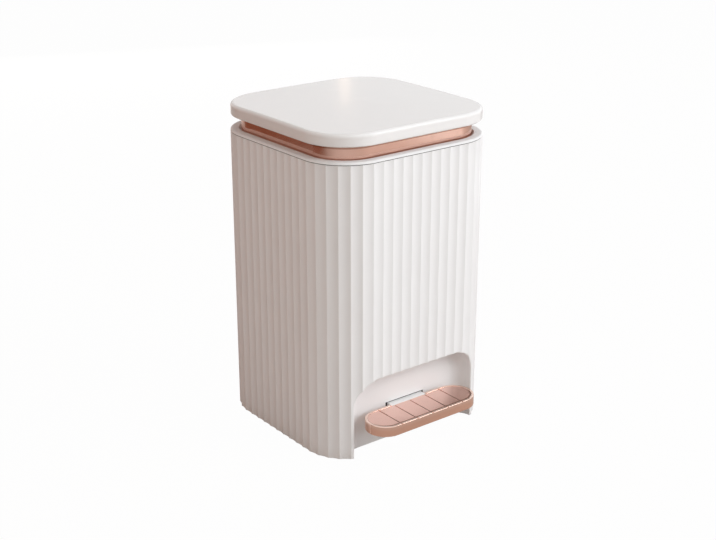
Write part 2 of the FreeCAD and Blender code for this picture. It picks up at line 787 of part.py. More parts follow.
def crown(body):
    # Takes the lid's top down to a shallow dome.
    sketch = new_sketch(body, "YZ")
    reach, level, middle = "1.5 * lid_half", "lid_top + 2 * lid_wall", "lid_top - lid_dome"
    lean = math.degrees(math.asin(mm(f"{reach} / lid_dome")))
    dome = sketch.addGeometry(arc(0, mm(middle), mm("lid_dome"), 90 - lean, 90), False)
    path = [sketch.getPoint(dome, 2), Vector(0, mm(level), 0), Vector(mm(reach), mm(level), 0),
            sketch.getPoint(dome, 1)]
    for start, end in zip(path, path[1:]):
        sketch.addGeometry(Part.LineSegment(start, end), False)
    for i in range(len(path)):
        sketch.addConstraint(Sketcher.Constraint("Coincident", dome + i, 2, dome + (i + 1) % len(path), 1))
    hold_radius(sketch, dome, "lid_dome")
    for geometry, point, x in ((dome, 3, "0"), (dome, 2, "0"), (dome + 2, 1, "0"), (dome + 3, 1, reach),
                               (dome, 1, reach)):
        hold(sketch, "DistanceX", geometry, point, x)
    for geometry, point, y in ((dome, 3, middle), (dome + 2, 1, level), (dome + 3, 1, level)):
        hold(sketch, "DistanceY", geometry, point, y)
    feature = body.newObject("PartDesign::Groove", body.Name + "_crown")
    feature.Profile = sketch
    feature.ReferenceAxis = (sketch, ["V_Axis"])
    feature.Angle = 360
    doc.recompute()


def make_lid_shell():
    body = new_body("lid_shell")
    sketch = new_sketch(body, "XY", "lid_low")
    draw_square(sketch, "lid_half", "lid_radius")
    pad(body, sketch, "lid_height + lid_wall")
    crown(body)
    round_edges(body, "lid_edge_radius", rim_of_lid)
    round_edges(body, "lid_under_radius", at_height("lid_low"))
    sketch = new_sketch(body, "XY", "lid_low")
    draw_square(sketch, "lid_half - lid_rim", "lid_radius - lid_rim")
    pocket(body, sketch, "lid_ceiling - lid_low")
    sketch = new_sketch(body, "XY", "liner_top")
    for x, y in LID_SPOTS + BRACKET_SPOTS:
        draw_circle(sketch, x, y, "lid_boss_radius")
    pad(body, sketch, "lid_ceiling - liner_top + lid_wall / 2")
    drill(body, LID_SPOTS + BRACKET_SPOTS, "liner_top", "lid_ceiling - liner_top")
    return body


def make_lid_liner():
    body = new_body("lid_liner")
    sketch = new_sketch(body, "XY", "liner_low")
    draw_square(sketch, "liner_half", "liner_radius")
    pad(body, sketch, "liner_thickness")
    drill(body, LID_SPOTS + BRACKET_SPOTS, "liner_low", "liner_thickness")
    return body


def make_bumpers():
    spots = [(f"{i} * bumper_reach", "-bumper_line") for i in (-1, 1)]
    spots += [(f"{i} * bumper_line", "-bumper_reach") for i in (-1, 1)]
    height = "liner_low - band_top - bumper_gap"
    made = [rod(f"bumper_{i}", "bumper_radius", height, x, y, "band_top + bumper_gap")
            for i, (x, y) in enumerate(spots, start=1)]
    return group("lid_bumpers", made)


def make_bracket():
    # Barrel round the hinge pin, two ears up to the mounting plate, and the crank that the rod lifts.
    body = new_body("lid_hinge_bracket")
    sketch = new_sketch(body, "YZ")
    draw_circle(sketch, "hinge_y", "hinge_z", "barrel_radius")
    pad(body, sketch, "2 * barrel_half", both_ways=True)
    sketch = new_sketch(body, "YZ")
    draw_rectangle(sketch, "hinge_y - 1.5 * barrel_radius", "liner_half", "hinge_z", "liner_low")
    pad(body, sketch, "2 * ear_outside", both_ways=True)
    sketch = new_sketch(body, "YZ")
    draw_rectangle(sketch, "hinge_y - 2 * barrel_radius", "hinge_y + 2 * barrel_radius",
                   "hinge_z + barrel_radius", "liner_low")
    pocket(body, sketch, "2 * (ear_outside - ear_width)", both_ways=True)
    sketch = new_sketch(body, "YZ")
    draw_rectangle(sketch, "bracket_front", "liner_half", "bracket_low", "liner_low")
    pad(body, sketch, "2 * ear_outside", both_ways=True)
    sketch = new_sketch(body, "YZ")
    across_y, across_z = "crank_web / 2 * sin(half_swing)", "crank_web / 2 * cos(half_swing)"
    draw_polygon(sketch, [
        (f"crank_y - {across_y}", f"crank_z + {across_z}"),
        (f"crank_y + {across_y}", f"crank_z - {across_z}"),
        (f"hinge_y + {across_y}", f"hinge_z - {across_z}"),
        (f"hinge_y - {across_y}", f"hinge_z + {across_z}")])
    pad(body, sketch, "crank_width", both_ways=True)
    sketch = new_sketch(body, "YZ")
    draw_circle(sketch, "crank_y", "crank_z", "crank_end_radius")
    pad(body, sketch, "crank_width", both_ways=True)
    sketch = new_sketch(body, "YZ")
    draw_circle(sketch, "hinge_y", "hinge_z", "hinge_pin_radius + pin_fit")
    pocket(body, sketch, "2 * barrel_half", both_ways=True)
    sketch = new_sketch(body, "YZ")
    draw_circle(sketch, "crank_y", "crank_z", "crank_pin_radius + pin_fit")
    pocket(body, sketch, "crank_width", both_ways=True)
    drill(body, BRACKET_SPOTS, "bracket_low", "bracket_thickness")
    return body


def make_hinge_housing():
    # Two posts on a sill that bridges behind the crank.
    body = new_body("hinge_housing")
    sketch = new_sketch(body, "YZ")
    draw_rectangle(sketch, "hinge_y - post_radius", "hinge_y + post_radius", "collar_top", "hinge_z")
    pad(body, sketch, "hinge_span", both_ways=True)
    sketch = new_sketch(body, "YZ")
    draw_circle(sketch, "hinge_y", "hinge_z", "post_radius")
    pad(body, sketch, "hinge_span", both_ways=True)
    sketch = new_sketch(body, "YZ")
    draw_rectangle(sketch, "hinge_y - 2 * post_radius", "hinge_y + 2 * post_radius", "sill_top",
                   "hinge_z + 2 * post_radius")
    pocket(body, sketch, "2 * post_inside", both_ways=True)
    sketch = new_sketch(body, "XY", "collar_top")
    draw_rectangle(sketch, "-crank_width", "crank_width", "hinge_y - 2 * post_radius", "hinge_y + pin_fit")
    pocket(body, sketch, "sill_thickness")
    sketch = new_sketch(body, "YZ")
    draw_circle(sketch, "hinge_y", "hinge_z", "hinge_pin_radius + pin_fit")
    pocket(body, sketch, "hinge_span", both_ways=True)
    drill(body, HINGE_SPOTS, "collar_top", "hinge_rise - hinge_pin_radius - screw_radius")
    return body


def make_yoke():
    # Clevis on the rod's top, with a level slot for the crank pin.
    body = new_body("rod_yoke")
    sketch = new_sketch(body, "YZ")
    draw_rectangle(sketch, "yoke_front", "yoke_rear", "yoke_low", "yoke_top")
    pad(body, sketch, "yoke_width", both_ways=True)
    sketch = new_sketch(body, "YZ")
    draw_rectangle(sketch, "yoke_front", "yoke_rear", "yoke_channel", "yoke_top")
    pocket(body, sketch, "crank_width + 2 * yoke_side_gap", both_ways=True)
    sketch = new_sketch(body, "YZ")
    draw_stadium(sketch, "crank_far_y - slot_run", "crank_y + slot_run", "crank_z",
                 "crank_pin_radius + slot_slack")
    pocket(body, sketch, "yoke_width", both_ways=True)
    sketch = new_sketch(body, "XY", "yoke_low")
    draw_circle(sketch, "0", "rod_y", "rod_radius + pin_fit")
    pocket(body, sketch, "socket_depth")
    return body


def make_rod_foot():
    # Clevis on the rod's lower end, with a level slot for the lever pin.
    body = new_body("rod_foot")
    sketch = new_sketch(body, "YZ")
    draw_rectangle(sketch, "yoke_front", "yoke_rear", "rod_foot_low", "rod_foot_top")
    pad(body, sketch, "2 * rod_foot_half", both_ways=True)
    sketch = new_sketch(body, "YZ")
    draw_rectangle(sketch, "yoke_front", "yoke_rear", "rod_foot_low", "rod_foot_channel")
    pocket(body, sketch, "2 * cheek_inside", both_ways=True)
    sketch = new_sketch(body, "YZ")
    draw_stadium(sketch, "rod_y - 2 * slot_run", "rod_y + slot_run", "lever_pin_z",
                 "lever_pin_radius + slot_slack")
    pocket(body, sketch, "2 * rod_foot_half", both_ways=True)
    sketch = new_sketch(body, "XY", "rod_foot_top")
    draw_circle(sketch, "0", "rod_y", "rod_radius + pin_fit")
    pocket(body, sketch, "socket_depth", upward=False)
    return body


def make_guides():
    made = []
    for name, low in (("lower", "lower_guide_height"), ("upper", "upper_guide_height")):
        block = box(f"{name}_guide_block", "-guide_width / 2", "guide_width / 2", "rod_y - guide_face",
                    "inner_half", low, f"{low} + guide_height")
        bore = rod(f"{name}_guide_bore", "rod_radius + rod_fit", "guide_height", "0", "rod_y", low)
        made.append(cut(f"{name}_guide", block, bore))
    return group("rod_guides", made)


def make_cover():
    body = new_body("rod_cover")
    sketch = new_sketch(body, "XY", "cover_low")
    inside, front = "cover_half - cover_wall", "cover_front + cover_wall"
    draw_polygon(sketch, [
        ("-cover_half", "inner_half"), ("-cover_half", "cover_front"), ("cover_half", "cover_front"),
        ("cover_half", "inner_half"), (inside, "inner_half"), (inside, front),
        (f"-({inside})", front), (f"-({inside})", "inner_half")])
    pad(body, sketch, "cover_high - cover_low")
    return body


def groove_lines(body, level, front, rear):
    # Narrow strips side by side, across the pedal.
    sketch = new_sketch(body, "XY", level)
    for i in range(round(mm("tread_grooves"))):
        middle = f"({i} - (tread_grooves - 1) / 2) * groove_spacing"
        draw_rectangle(sketch, f"{middle} - groove_width / 2", f"{middle} + groove_width / 2", front, rear)
    return sketch


def make_tread():
    # A grooved pad inside a notched rim; the pad stands clear of the rim along the front.
    body = new_body("pedal_tread")
    ends = ("-pedal_half", "pedal_half")
    sketch = new_sketch(body, "XY", "pedal_low")
    draw_stadium(sketch, *ends, "pedal_y", "pedal_radius")
    pad(body, sketch, "pedal_height")
    round_edges(body, "pedal_round", at_height("pedal_low"))
    sketch = new_sketch(body, "XY", "tread_top")
    draw_stadium(sketch, *ends, "pedal_y", "rim_inside")
    pocket(body, sketch, "rim_depth")
    across = groove_lines(body, "pedal_top - rim_notch", "pedal_y - pedal_radius", "pedal_rear")
    pocket(body, across, "rim_notch")
    side = "lever_width / 2 + notch_gap"
    sketch = new_sketch(body, "XY", "tread_top")
    draw_rectangle(sketch, f"-({side})", side, "pedal_y", "pedal_rear")
    pocket(body, sketch, "rim_depth")
    round_edges(body, "pedal_round", at_height("pedal_top"))
    sketch = new_sketch(body, "XY", "tread_top")
    draw_stadium(sketch, *ends, "pedal_y + (pad_gap + pad_lap) / 2", "rim_inside - (pad_gap - pad_lap) / 2")
    pad(body, sketch, "pad_rise")
    across = groove_lines(body, "pad_top - groove_depth", "pedal_y - rim_inside",
                          "pedal_y + rim_inside + pad_lap")
    pocket(body, across, "groove_depth")
    sketch = new_sketch(body, "XY", "pedal_low")
    draw_stadium(sketch, *ends, "pedal_y", "pedal_radius - pedal_wall")
    pocket(body, sketch, "tread_low - pedal_low")
    sketch = new_sketch(body, "XY", "pedal_low")
    draw_rectangle(sketch, f"-({side})", side, "pedal_y", "pedal_rear")
    pocket(body, sketch, "tread_low - pedal_low")
    drill(body, TREAD_SPOTS, "tread_low", "tread_floor / 2")
    return body


def make_lever():
    # A wide arm under the tread, raised behind it, that bends down to the pivot; a slim arm on to the rod.
    body = new_body("pedal_lever")
    sketch = new_sketch(body, "YZ")
    draw_polygon(sketch, [
        ("arm_front", "arm_low"), ("arm_bend - lever_thickness", "arm_low"),
        ("pivot_y - pivot_radius / 2", "pivot_z - pivot_radius / 2"),
        ("pivot_y + pivot_radius / 2", "pivot_z + pivot_radius / 2"),
        ("arm_bend", "tread_low"), ("arm_front", "tread_low")])
    pad(body, sketch, "lever_width", both_ways=True)
    sketch = new_sketch(body, "YZ")
    draw_polygon(sketch, [
        ("shoulder_front", "tread_top"), ("pedal_rear + notch_gap", "tread_top"),
        ("pedal_rear + notch_gap", "arm_low"), ("arm_bend - lever_thickness", "arm_low"),
        ("arm_bend", "tread_low"), ("arm_bend - lever_thickness", "shoulder_top"),
        ("shoulder_front", "shoulder_top")])
    pad(body, sketch, "lever_width", both_ways=True)
    round_edges(body, "pedal_round", at_height("shoulder_top"))
    sketch = new_sketch(body, "YZ")
    draw_circle(sketch, "pivot_y", "pivot_z", "2 * pivot_radius")
    pocket(body, sketch, "2 * bearing_outside", both_ways=True)
    sketch = new_sketch(body, "YZ")
    draw_polygon(sketch, [
        ("arm_bend", "tread_low - lever_thickness"), ("arm_bend", "arm_low - lever_thickness"),
        ("pivot_y - pivot_radius / 2", "pivot_z - pivot_radius / 2"),
        ("pivot_y + pivot_radius / 2", "pivot_z + pivot_radius / 2")])
    pad(body, sketch, "pivot_width - 2 * bush_length / 3", both_ways=True)
    sketch = new_sketch(body, "YZ")
    draw_circle(sketch, "pivot_y", "pivot_z", "pivot_radius")
    pad(body, sketch, "pivot_width", both_ways=True)
    sketch = new_sketch(body, "YZ")
    draw_polygon(sketch, [
        ("pivot_y", "pivot_z - rear_arm_depth / 2"), ("rod_y", "lever_pin_z - rear_arm_depth / 2"),
        ("rod_y", "lever_pin_z + rear_arm_depth / 2"), ("pivot_y", "pivot_z + rear_arm_depth / 2")])
    pad(body, sketch, "rear_arm_width", both_ways=True)
    sketch = new_sketch(body, "YZ")
    draw_circle(sketch, "rod_y", "lever_pin_z", "lever_end_radius")
    pad(body, sketch, "rear_arm_width", both_ways=True)
    sketch = new_sketch(body, "YZ")
    draw_circle(sketch, "pivot_y", "pivot_z", "bush_radius + pin_fit")
    pocket(body, sketch, "pivot_width", both_ways=True)
    sketch = new_sketch(body, "YZ")
    draw_circle(sketch, "rod_y", "lever_pin_z", "lever_pin_radius + pin_fit")
    pocket(body, sketch, "rear_arm_width", both_ways=True)
    drill(body, TREAD_SPOTS, "arm_low", "lever_thickness")
    return body


def make_bushes():
    # Flanged bushes, one in each end of the lever's pivot tube.
    made = []
    for name, tube_start, flange_start in (
            ("left", "-pivot_width / 2", "-pivot_width / 2 - bush_flange"),
            ("right", "pivot_width / 2 - bush_length", "pivot_width / 2")):
        tube = rod(f"{name}_bush_tube", "bush_radius", "bush_length", tube_start, "pivot_y", "pivot_z", "x")
        flange = rod(f"{name}_bush_flange", "bush_radius + bush_flange_wall", "bush_flange", flange_start,
                     "pivot_y", "pivot_z", "x")
        bore = rod(f"{name}_bush_bore", "shaft_radius + pin_fit", "pivot_width", "-pivot_width", "pivot_y",
                   "pivot_z", "x")
        if name == "right":
            place(bore, "0", "pivot_y", "pivot_z")
        made.append(cut(f"{name}_bush", fuse(f"{name}_bush_blank", [tube, flange]), bore))
    return group("lever_bushes", made)


def make_clips():
    made = []
    for name, start in (("left", "-bearing_outside - pin_fit - clip_thickness"),
                        ("right", "bearing_outside + pin_fit")):
        ring = rod(f"{name}_clip_disc", "shaft_radius + clip_wall", "clip_thickness", start, "pivot_y",
                   "pivot_z", "x")
        bore = rod(f"{name}_clip_bore", "shaft_radius + pin_fit", "clip_thickness", start, "pivot_y",
                   "pivot_z", "x")
        made.append(cut(f"{name}_clip", ring, bore))
    return group("shaft_clips", made)


def cross_pin(label, radius, length, y, z):
    return rod(label, radius, length, f"-({length}) / 2", y, z, "x")


pieces = [
    make_outer_body(),
    make_base_plate(),
    make_feet(),
    screws("base_screws", PLATE_SPOTS, "plate_low", "plate_thickness + boss_height / 2"),
    make_collar(),
    make_seal(),
    make_band(),
    make_bucket(),
    make_hinge_housing(),
    cross_pin("hinge_pin", "hinge_pin_radius", "hinge_span", "hinge_y", "hinge_z"),
    screws("hinge_screws", HINGE_SPOTS, "ledge_low", "collar_top - ledge_low + hinge_rise / 3"),
    make_guides(),
    make_cover(),
    cross_pin("lever_shaft", "shaft_radius", "2 * (bearing_outside + 3 * clip_thickness)", "pivot_y",
              "pivot_z"),
    make_clips(),
    make_lid_shell(),
    make_lid_liner(),
    screws("lid_screws", LID_SPOTS, "liner_low", "lid_ceiling - liner_low"),
    make_bumpers(),
    make_bracket(),
    screws("bracket_screws", BRACKET_SPOTS, "bracket_low", "lid_ceiling - liner_low"),
    cross_pin("crank_pin", "crank_pin_radius", "yoke_width - yoke_side_gap", "crank_y", "crank_z"),
    make_tread(),
    make_lever(),
    screws("tread_screws", TREAD_SPOTS, "arm_low", "lever_thickness + tread_floor / 2"),
    make_bushes(),
    cross_pin("lever_pin", "lever_pin_radius", "2 * rod_foot_half + bush_flange", "rod_y", "lever_pin_z"),
    rod("push_rod", "rod_radius", "yoke_low - rod_foot_top + 2 * socket_depth", "0", "rod_y",
        "rod_foot_top - socket_depth"),
    make_yoke(),
    make_rod_foot(),
]

for piece in pieces:
    written = {path.strip("."): text for path, text in piece.ExpressionEngine}
    start = written.get("Placement.Base.y", "0")
    piece.setExpression("Placement.Base.y", f"{start} + {bind('pedal_reach / 2')}")

doc.recompute()
for item in doc.Objects:
    if {"Invalid", "Error"} & set(item.State):
        raise ValueError(f"{item.Label} did not build")
for piece in pieces:
    if piece.Shape.isNull() or not piece.Shape.isValid():
        raise ValueError(f"{piece.Label} is not a valid shape")

os.makedirs("parts", exist_ok=True)
for piece in pieces:
    piece.Shape.exportStep(f"parts/{piece.Label}.step")
    print(piece.Label, len(piece.Shape.Solids), round(piece.Shape.Volume / 1000, 2), "cm3")
print("rod rise", round(mm("rod_rise"), 3), "rear arm", round(mm("rear_arm"), 3))
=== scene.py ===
import json

import bmesh
import bpy
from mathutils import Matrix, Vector


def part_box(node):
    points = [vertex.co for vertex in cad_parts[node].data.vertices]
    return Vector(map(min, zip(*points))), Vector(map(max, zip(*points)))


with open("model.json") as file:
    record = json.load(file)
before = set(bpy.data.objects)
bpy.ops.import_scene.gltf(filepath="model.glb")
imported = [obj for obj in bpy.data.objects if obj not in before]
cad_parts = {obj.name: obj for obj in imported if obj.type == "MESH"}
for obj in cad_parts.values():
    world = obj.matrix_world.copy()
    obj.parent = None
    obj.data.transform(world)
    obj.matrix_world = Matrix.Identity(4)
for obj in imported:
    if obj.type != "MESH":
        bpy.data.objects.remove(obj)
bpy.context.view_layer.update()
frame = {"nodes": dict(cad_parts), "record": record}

nodes = frame["nodes"]
print("frame loaded:", len(nodes), "nodes")


class Wire:
    # a socket with arithmetic; an empty one starts a node tree
    def __init__(self, tree, socket=None):
        self.tree = tree
        self.socket = socket

    def node(self, kind, settings=None, links=None, output=0):
        made = self.tree.nodes.new(kind)
        for name, value in (settings or {}).items():
            setattr(made, name, value)
        for name, value in (links or {}).items():
            if isinstance(value, Wire):
                self.tree.links.new(value.socket, made.inputs[name])
            else:
                made.inputs[name].default_value = value
        return Wire(self.tree, made.outputs[output] if made.outputs else None)

    def maths(self, operation, first, second):
        return self.node("ShaderNodeMath", {"operation": operation}, {0: first, 1: second})

    def __add__(self, other):
        return self.maths("ADD", self, other)

    def __radd__(self, other):
        return self.maths("ADD", other, self)

    def __sub__(self, other):
        return self.maths("SUBTRACT", self, other)

    def __rsub__(self, other):
        return self.maths("SUBTRACT", other, self)

    def __mul__(self, other):
        return self.maths("MULTIPLY", self, other)

    def __rmul__(self, other):
        return self.maths("MULTIPLY", other, self)

    def __pow__(self, other):
        return self.maths("POWER", self, other)

    def __rpow__(self, other):
        return self.maths("POWER", other, self)

    def __abs__(self):
        return self.larger(-1.0 * self)

    def larger(self, other):
        return self.maths("MAXIMUM", self, other)

    def rise(self, low, high):
        # 0 below low, 1 above high, smooth between; low over high falls instead
        return self.node("ShaderNodeMapRange", {"interpolation_type": "SMOOTHSTEP"},
                         {0: self, 1: low, 2: high, 3: 0.0, 4: 1.0})

    def blend(self, first, second):
        # this value picks between two colours
        return self.node("ShaderNodeMix", {"data_type": "RGBA"},
                         {0: self, 6: first, 7: second}, 2)


def rgb(shade):
    return (*shade, 1.0)


def startFinish(name):
    # an empty material, its wire and its place coordinates
    finish = bpy.data.materials.new(name)
    finish.use_nodes = True
    finish.node_tree.nodes.clear()
    wire = Wire(finish.node_tree)
    place = wire.node("ShaderNodeTexCoord", output="Object")
    return finish, wire, place


def noise(wire, place, pattern):
    # a cloudy pattern, spread from 0 to 1 between its levels where it has some
    spread = wire.node("ShaderNodeMapping", None, {
        "Vector": place, "Scale": pattern.get("stretch", (1, 1, 1))})
    clouds = wire.node("ShaderNodeTexNoise", None, {
        "Vector": spread, "Scale": pattern["scale"], "Detail": pattern["detail"]})
    return clouds.rise(*pattern["levels"]) if "levels" in pattern else clouds


def axes(wire, place):
    split = wire.node("ShaderNodeSeparateXYZ", None, {0: place})
    return [Wire(wire.tree, split.socket.node.outputs[i]) for i in range(3)]


def finishSurface(wire, sockets, height, bump):
    # the shader with its bump
    sockets["Normal"] = wire.node("ShaderNodeBump", None, {
        "Height": height, "Strength": bump["strength"], "Distance": bump["depth"]})
    shader = wire.node("ShaderNodeBsdfPrincipled", None, sockets)
    wire.node("ShaderNodeOutputMaterial", None, {"Surface": shader})


shellLook = {
    "white": (0.870, 0.867, 0.865),
    "cloud": (0.850, 0.843, 0.839),
    "clouds": {"scale": 14.0, "detail": 4.0, "levels": (0.35, 0.75)},
    "flow": {"scale": 5.0, "detail": 2.0, "levels": (0.4, 0.7), "stretch": (6, 6, 0.8)},
    "specks": {"scale": 900.0, "detail": 2.0, "levels": (0.55, 0.75)},
    "peel": {"scale": 1400.0, "detail": 2.0},
    "bump": {"strength": 0.06, "depth": 0.0002},
    "cloudShare": 0.55,
    "flowShare": 0.25,
    "floorDust": (0.70, 0.665, 0.63),
    "dustTop": 0.020,
    "dustEven": 0.25,
    "dustSpecks": 0.55,
    # painted shade seen through the lever's slot
    "slotGrime": (0.045, 0.036, 0.032),
    "slotBehindTread": 0.0061,
    "slotBesideLever": 0.006,
    "slotSoft": 0.001,
    "slotStart": (0.0004, 0.0016),  # from the recess's back wall inwards
    "slotEnd": (0.032, 0.030),
    "slotLow": (0.004, 0.005),      # heights over the floor
    "slotTop": (0.060, 0.059),
    "ledgeDepth": (0.006, 0.003),   # under the collar's top
    "roughness": 0.30,
    "cloudRough": 0.06,
    "speckRough": 0.04,
    "dustRough": 0.2,
    "ledgeRough": 0.45,
    "ior": 1.49,
    "coat": 0.15,
    "coatRoughness": 0.12,
}


def makeShellWhite(name, look):
    # satin moulded plastic with a faint cloudiness, a fine orange peel, dust by the floor,
    # painted shade inside the slot behind the wall that the lever passes through, and a matt
    # ledge on the collar
    finish, wire, place = startFinish(name)
    x, y, z = axes(wire, place)
    cloud = noise(wire, place, look["clouds"])
    flow = noise(wire, place, look["flow"])
    speck = noise(wire, place, look["specks"])
    colour = (look["cloudShare"] * cloud + look["flowShare"] * flow).blend(
        rgb(look["white"]), rgb(look["cloud"]))
    dust = z.rise(look["dustTop"], 0.0) * (look["dustEven"] + look["dustSpecks"] * speck)
    colour = dust.blend(colour, rgb(look["floorDust"]))
    behind = y - (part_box("pedal_tread")[1][1] + look["slotBehindTread"])
    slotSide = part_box("pedal_lever")[1][0] + look["slotBesideLever"]
    # painted shade: near-black inside the lever's slot behind the recess's back wall, where
    # shadow falls
    grime = behind.rise(*look["slotStart"]) * behind.rise(*look["slotEnd"])
    grime = grime * z.rise(*look["slotLow"]) * z.rise(*look["slotTop"])
    grime = grime * abs(x).rise(slotSide + look["slotSoft"], slotSide)
    colour = grime.blend(colour, rgb(look["slotGrime"]))
    ledgeStart, ledgeFull = (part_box("top_collar")[1][2] - depth for depth in look["ledgeDepth"])
    ledge = z.rise(ledgeStart, ledgeFull)
    rough = look["roughness"] + look["cloudRough"] * cloud + look["speckRough"] * speck
    rough = rough + look["dustRough"] * dust + look["ledgeRough"] * ledge
    finishSurface(wire, {
        "Base Color": colour, "Roughness": rough, "IOR": look["ior"],
        "Coat Weight": look["coat"] * (1.0 - ledge), "Coat Roughness": look["coatRoughness"],
    }, noise(wire, place, look["peel"]), look["bump"])
    return finish


lidLook = {
    "white": (0.868, 0.856, 0.846),
    "cloud": (0.851, 0.836, 0.825),
    "clouds": {"scale": 9.0, "detail": 4.0, "levels": (0.35, 0.75)},
    "wipes": {"scale": 22.0, "detail": 5.0, "levels": (0.45, 0.75)},
    "peel": {"scale": 1100.0, "detail": 2.0},
    "bump": {"strength": 0.05, "depth": 0.0002},
    "cloudShare": 0.7,
    "roughness": 0.15,
    "wipeRough": 0.05,
    "cloudRough": 0.05,
    "ior": 1.50,
    "coat": 0.25,
    "coatRoughness": 0.08,
}


def makeLidWhite(name, look):
    # the lid's glossier plastic, a little duller where hands wipe it
    finish, wire, place = startFinish(name)
    cloud = noise(wire, place, look["clouds"])
    wipe = noise(wire, place, look["wipes"])
    colour = (look["cloudShare"] * cloud).blend(rgb(look["white"]), rgb(look["cloud"]))
    rough = look["roughness"] + look["wipeRough"] * wipe + look["cloudRough"] * cloud
    finishSurface(wire, {
        "Base Color": colour, "Roughness": rough, "IOR": look["ior"],
        "Coat Weight": look["coat"], "Coat Roughness": look["coatRoughness"],
    }, noise(wire, place, look["peel"]), look["bump"])
    return finish


roseLook = {
    "rose": (0.855, 0.545, 0.448),
    "pale": (0.875, 0.588, 0.494),
    "brown": (0.380, 0.205, 0.140),
    "pedalGold": (0.880, 0.555, 0.430),
    "pad": (0.815, 0.548, 0.480),
    # painted highlight on the pedal's rim
    "rim": (0.900, 0.690, 0.600),
    "grooveDark": (0.420, 0.300, 0.250),
    # painted shadow along the pad's front edge
    "padEdgeShadow": (0.400, 0.225, 0.160),
    "clouds": {"scale": 25.0, "detail": 3.0, "levels": (0.35, 0.7)},
    "rubs": {"scale": 60.0, "detail": 4.0, "levels": (0.50, 0.75)},
    "grain": {"scale": 1600.0, "detail": 2.0},
    "bump": {"strength": 0.02, "depth": 0.0001},
    "cloudShare": 0.5,
    "rubShare": 0.05,
    "padEdgeShare": 0.8,
    "lipShare": 0.40,
    "grimeShare": 0.75,
    "frameWidth": 0.0034,
    "frameSoft": 0.0002,
    "pedalZone": (2.0, 1.5),            # of the pedal's height over the floor
    "rimDepth": (0.0010, 0.0004),       # under the pedal's top
    "lipDepth": (0.0065, 0.00195),
    "padDrop": 0.0007,
    "padDepth": (0.0033, 0.00264),      # under the pad's top
    "grooveDepth": (0.0001, 0.0004),
    "grooveFade": (0.5, -0.5),          # of the pedal's radius, from its middle line
    "grooveBack": 0.15,
    "padEdgeFade": (0.0, -0.6),
    "padEdgeInset": (0.0030, 0.0023),   # from the frame inwards
    "grimeDepth": (0.0034, 0.0026),     # under the band's top
    "roughness": 0.09,
    "rubRough": 0.048,
    "cloudRough": 0.016,
    "padRough": 0.08,
    "grooveRough": 0.3,
    "grooveDull": 0.6,
}


def makeRoseGold(name, look):
    # plated plastic: band and pedal frame polished, the pad duller, the pedal's rim painted pale
    # as a highlight, grooves darker towards the front, a painted shadow at the pad's front edge,
    # painted shade on the band under the lid
    finish, wire, place = startFinish(name)
    x, y, z = axes(wire, place)
    low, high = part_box("pedal_tread")
    radius, middle = (high[1] - low[1]) / 2, (high[1] + low[1]) / 2
    straight = (high[0] - low[0]) / 2 - radius
    inside, soft = radius - look["frameWidth"], look["frameSoft"]

    def under(top, depths):
        return z.rise(*(top - depth for depth in depths))

    past = (abs(x) - straight).larger(0.0)
    across = y - middle
    reach = (past * past + across * across) ** 0.5  # from the tread's middle line
    onPedal = z.rise(*(share * high[2] for share in look["pedalZone"]))
    # painted highlight: the rim's top painted pale where it catches light; the frame's top and
    # upper wall blend part way to it
    rim = onPedal * reach.rise(inside - soft, inside + soft) * under(high[2], look["rimDepth"])
    lip = onPedal * reach.rise(inside, radius) * under(high[2], look["lipDepth"])
    padTop = high[2] - look["padDrop"]
    pad = onPedal * reach.rise(inside + soft, inside - soft) * under(padTop, look["padDepth"])
    # grooves darker, duller and rougher, most towards the pad's front
    grooveTone = across.rise(*(share * radius for share in look["grooveFade"]))
    grooveTone = look["grooveBack"] + (1.0 - look["grooveBack"]) * grooveTone
    grooveTone = grooveTone * pad * under(padTop, look["grooveDepth"])
    # painted shadow: a dark line along the pad's front edge, inside the rim
    padEdgeShadow = pad * across.rise(*(share * radius for share in look["padEdgeFade"]))
    padEdgeShadow = padEdgeShadow * reach.rise(*(inside - inset for inset in look["padEdgeInset"]))
    # painted shade: the band's top darkened where the lid's edge shades it; the same brown also
    # marks rubbed wear
    grime = under(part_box("trim_band")[1][2], look["grimeDepth"])
    cloud = noise(wire, place, look["clouds"])
    rubbed = noise(wire, place, look["rubs"])
    colour = (look["cloudShare"] * cloud).blend(rgb(look["rose"]), rgb(look["pale"]))
    colour = onPedal.blend(colour, rgb(look["pedalGold"]))
    colour = (look["lipShare"] * lip).larger(rim).blend(colour, rgb(look["rim"]))
    colour = pad.blend(colour, rgb(look["pad"]))
    colour = (look["padEdgeShare"] * padEdgeShadow).blend(colour, rgb(look["padEdgeShadow"]))
    brown = look["rubShare"] * rubbed + look["grimeShare"] * grime
    colour = brown.blend(colour, rgb(look["brown"]))
    colour = grooveTone.blend(colour, rgb(look["grooveDark"]))
    rough = look["roughness"] + look["rubRough"] * rubbed + look["cloudRough"] * cloud
    rough = rough + look["padRough"] * pad + look["grooveRough"] * grooveTone
    finishSurface(wire, {
        "Base Color": colour, "Metallic": 1.0 - look["grooveDull"] * grooveTone, "Roughness": rough,
    }, noise(wire, place, look["grain"]), look["bump"])
    return finish


bucketLook = {
    "grey": (0.50, 0.50, 0.51),
    "dark": (0.42, 0.42, 0.43),
    "clouds": {"scale": 12.0, "detail": 3.0, "levels": (0.35, 0.7)},
    "scrapes": {"scale": 30.0, "detail": 6.0, "levels": (0.56, 0.68), "stretch": (5, 5, 0.3)},
    "grain": {"scale": 1500.0, "detail": 3.0},
    "bump": {"strength": 0.25, "depth": 0.0003},
    "cloudShare": 0.5,
    "scrapeShare": 0.35,
    "roughness": 0.48,
    "grainRough": 0.12,
    "scrapeShine": 0.08,
    "ior": 1.49,
}


